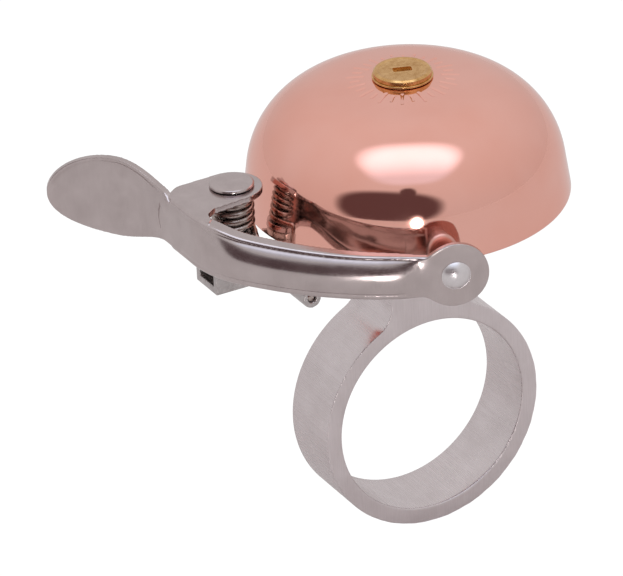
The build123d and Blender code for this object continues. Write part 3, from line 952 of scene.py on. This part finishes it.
# the knob behind it keeps its CAD mesh
knob_mesh = frame["nodes"]["hammer_knob"].data
knob_mesh.materials.clear()
knob_mesh.materials.append(knob_finish)


# ---------------------------------------------------------------- return spring
def tube(name, path, radius):
    """A round wire along a path, with slightly domed ends."""
    sides = 20
    turns = [2 * math.pi * k / sides for k in range(sides)]
    side = (path[1] - path[0]).normalized().orthogonal().normalized()
    sections = []
    last = len(path) - 1
    for i, p in enumerate(path):
        tangent = (path[min(i + 1, last)] - path[max(i - 1, 0)]).normalized()
        side = (side - tangent * side.dot(tangent)).normalized()
        up = tangent.cross(side)
        ring = [side * math.cos(a) + up * math.sin(a) for a in turns]
        if i == 0:
            sections.append([p - tangent * radius * 0.12 + d * radius * 0.75 for d in ring])
        sections.append([p + d * radius for d in ring])
        if i == last:
            sections.append([p + tangent * radius * 0.12 + d * radius * 0.75 for d in ring])
    return lofted(name, sections)


def build_spring():
    """One wire: from the seat on the bracket's ear, up round the rivet and along the inside of the web."""
    centre = Vector((pivot.x, 0, 0))

    def on_coil(a, z):
        return centre + Vector((spring_radius * math.cos(a), spring_radius * math.sin(a), z))

    first = on_coil(coil_start, spring_low)
    knee = first + Vector((math.sin(coil_start), -math.cos(coil_start), 0)) * lower_leg_run
    corners = [first, knee, Vector((knee.x, knee.y - lower_leg_lean, lower_leg_z)),
               Vector((groove_x, lower_leg_turn_y, lower_leg_z)),
               Vector((groove_x, lower_leg_seat_y, seat_z)), Vector((groove_x, lower_leg_end_y, seat_z))]
    leg = []
    for a, b in zip(corners, corners[1:]):
        count = max(2, int((b - a).length / (0.25 * mm)))
        leg += [a + (b - a) * k / count for k in range(count)]
    leg.append(corners[-1])
    # soften the bends
    for _ in range(6):
        inner = [(leg[i - 1] + leg[i] * 2 + leg[i + 1]) / 4 for i in range(1, len(leg) - 1)]
        leg = [leg[0]] + inner + [leg[-1]]
    path = leg[::-1][:-1]
    steps = 420
    for k in range(steps + 1):
        t = k / steps
        path.append(on_coil(coil_start + (coil_end - coil_start) * t,
                            spring_low + (spring_high - spring_low) * t))
    out = Vector((-math.sin(coil_end), math.cos(coil_end), 0))
    path += [path[-1] + out * upper_leg_run * k / 30 for k in range(1, 31)]
    obj = tube("return_spring_wound", path, wire_radius)
    smooth(obj, 60)
    obj.data.materials.append(wire_finish)
    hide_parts("return_spring")
    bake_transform(obj)


build_spring()


# ---------------------------------------------------------------- floor, light and camera
def square(name, half_across, half_along, z=0.0):
    corners = [(-half_across, -half_along, z), (half_across, -half_along, z),
               (half_across, half_along, z), (-half_across, half_along, z)]
    return mesh_object(name, corners, [(0, 1, 2, 3)])


floor = square("floor", 3.0, 3.0, floor_z)
floor_paint, _, floor_shader = material("pale_floor", metallic=0.0)
floor_shader.inputs["Base Color"].default_value = (0.88, 0.87, 0.87, 1)
floor_shader.inputs["Emission Color"].default_value = (1, 0.98, 0.98, 1)
floor_shader.inputs["Emission Strength"].default_value = 0.05
floor_shader.inputs["Roughness"].default_value = 0.9
floor_shader.inputs["Specular IOR Level"].default_value = 0.1
floor.data.materials.append(floor_paint)


def profile(tree, value, start, end, first, last):
    """A smooth change from one strength to another."""
    return map_range(tree, value, start, end, first, last, "SMOOTHSTEP")


def glowing_card(name, axes, centre, half_across, half_along, colour, lit_share, strength):
    """A card that gives light where lit_share says and is clear elsewhere; both read its own x and y."""
    card = square(name, half_across, half_along)
    card.matrix_world = Matrix.Translation(centre) @ Matrix(axes).transposed().to_4x4()
    made = bpy.data.materials.new(name)
    made.use_nodes = True
    tree = made.node_tree
    tree.nodes.clear()
    where = node(tree, "ShaderNodeTexCoord").outputs["Object"]
    x, y, _ = node(tree, "ShaderNodeSeparateXYZ", Vector=where).outputs
    lit = node(tree, "ShaderNodeEmission", Color=(*colour, 1), Strength=strength(tree, x, y)).outputs[0]
    clear = node(tree, "ShaderNodeBsdfTransparent").outputs[0]
    both = node(tree, "ShaderNodeMixShader", in0=lit_share(tree, x, y), in1=clear, in2=lit).outputs[0]
    link(tree, both, node(tree, "ShaderNodeOutputMaterial").inputs["Surface"])
    card.data.materials.append(made)
    card.visible_diffuse = False
    card.visible_shadow = False
    return card


def squarish(tree, x, y, half_across, half_along, power):
    """0 at the middle of a rounded rectangle and 1 at its edge."""
    wide = maths(tree, "POWER", maths(tree, "ABSOLUTE", maths(tree, "DIVIDE", x, half_across)), power)
    deep = maths(tree, "POWER", maths(tree, "ABSOLUTE", maths(tree, "DIVIDE", y, half_along)), power)
    return maths(tree, "ADD", wide, deep)


# the floor as the camera sees it, evenly lit out to its edges
world_axes = [(1, 0, 0), (0, 1, 0), (0, 0, 1)]
backdrop = glowing_card(
    "lit_backdrop", world_axes, (0, 0, floor_z + 0.05 * mm), 2.5, 2.5, (1, 1, 1),
    lambda tree, x, y: profile(tree, squarish(tree, x, y, 2.4, 2.4, 2.0), 0.03, 0.8, 1.0, 0.0),
    lambda tree, x, y: 1.05)
backdrop.visible_glossy = False
backdrop.visible_transmission = False

camera_azimuth = math.radians(-27.72)
camera_elevation = math.radians(27.55)
camera_roll = math.radians(-2.66)
camera_distance = 0.899
camera_target = Vector((-15.41 * mm, 0, rim_z - 10.44 * mm))

back = Vector((math.sin(camera_azimuth) * math.cos(camera_elevation),
               -math.cos(camera_azimuth) * math.cos(camera_elevation), math.sin(camera_elevation)))
level = Vector((math.cos(camera_azimuth), math.sin(camera_azimuth), 0))
upright = back.cross(level)
right = level * math.cos(camera_roll) + upright * math.sin(camera_roll)
up = upright * math.cos(camera_roll) - level * math.sin(camera_roll)
camera = bpy.data.objects.new("camera", bpy.data.cameras.new("camera"))
camera.data.sensor_width = 36
camera.data.lens = 380.8
camera.data.clip_start = 0.05
camera.matrix_world = Matrix.Translation(camera_target + back * camera_distance) @ Matrix(
    (right, up, back)).transposed().to_4x4()
bpy.context.scene.collection.objects.link(camera)
bpy.context.scene.camera = camera


def heading(azimuth, elevation):
    """Direction from the object: azimuth 0 is -Y, towards +X, in degrees."""
    a, e = math.radians(azimuth), math.radians(elevation)
    return Vector((math.sin(a) * math.cos(e), -math.cos(a) * math.cos(e), math.sin(e)))


forward = Vector((math.sin(camera_azimuth), -math.cos(camera_azimuth), 0))

# a diffusing panel over the bell, bright at its far side and fading towards the camera
softbox_centre = forward * 0.36 + level * 0.025 + Vector((0, 0, rim_z + 0.60))
softbox = glowing_card(
    "softbox", (level, forward, level.cross(forward)), softbox_centre, 0.44, 0.42, (0.93, 1.0, 1.14),
    lambda tree, x, y: profile(tree, squarish(tree, x, y, 0.42, 0.40, 2.6), 0.25, 1.0, 1.0, 0.0),
    lambda tree, x, y: profile(tree, y, -0.20, 0.20, 1.85, 0.95))
softbox.visible_camera = False

# a small bare lamp low in front
spark_wide, spark_high = 0.030, 0.050
aim = heading(-23, -3)
side = Vector((0, 0, 1)).cross(aim).normalized()
spark = glowing_card(
    "spark", (side, aim.cross(side), aim), Vector((0, 0, rim_z)) + aim * 0.27, 0.06, 0.06, (1, 0.95, 0.94),
    lambda tree, x, y: profile(tree, squarish(tree, x, y, spark_wide, spark_high, 2.0), 0.1, 1.0, 1.0, 0.0),
    lambda tree, x, y: profile(tree, squarish(tree, x, y, spark_wide, spark_high, 2.0), 0.05, 0.5, 18.0, 1.2))
spark.visible_camera = False

# a pale tent all round, a little lighter overhead
world = bpy.data.worlds.new("tent")
bpy.context.scene.world = world
world.use_nodes = True
tree = world.node_tree
sky = tree.nodes["Background"]
toward = node(tree, "ShaderNodeTexCoord").outputs["Generated"]
toward_up = node(tree, "ShaderNodeSeparateXYZ", Vector=toward).outputs[2]
tent = blend_colours(tree, maths(tree, "MULTIPLY_ADD", toward_up, 0.5), (0.635, 0.61, 0.61),
                     (0.76, 0.74, 0.74), 0.5, 0.95)


def opening(azimuth, elevation, half_wide, half_high):
    """1 inside an elliptical opening of the tent, fading to 0 at its edge. Half angles in degrees."""
    ahead = heading(azimuth, elevation)
    side = heading(azimuth + 90, 0)
    over = side.cross(ahead) * -1

    def along(direction):
        made = node(tree, "ShaderNodeVectorMath", {"operation": "DOT_PRODUCT"}, in0=toward, in1=direction)
        return made.outputs["Value"]

    def share(direction, half):
        slope = maths(tree, "DIVIDE", along(direction), maths(tree, "MAXIMUM", along(ahead), 0.02))
        part = maths(tree, "DIVIDE", slope, math.tan(math.radians(half)))
        return maths(tree, "POWER", maths(tree, "ABSOLUTE", part), 2.4)

    from_middle = maths(tree, "ADD", share(side, half_wide), share(over, half_high))
    return profile(tree, from_middle, 0.55, 1.35, 1.0, 0.0)


gap = maths(tree, "MAXIMUM", opening(-42, 14, 38, 19), opening(-28, 30, 6, 7))
shade = node(tree, "ShaderNodeMix", {"data_type": "RGBA"}, in0=gap, in6=tent, in7=(0.115, 0.075, 0.08, 1))
link(tree, shade.outputs[2], sky.inputs["Color"])
sky.inputs["Strength"].default_value = 1.0

bpy.context.scene.view_settings.view_transform = "Standard"
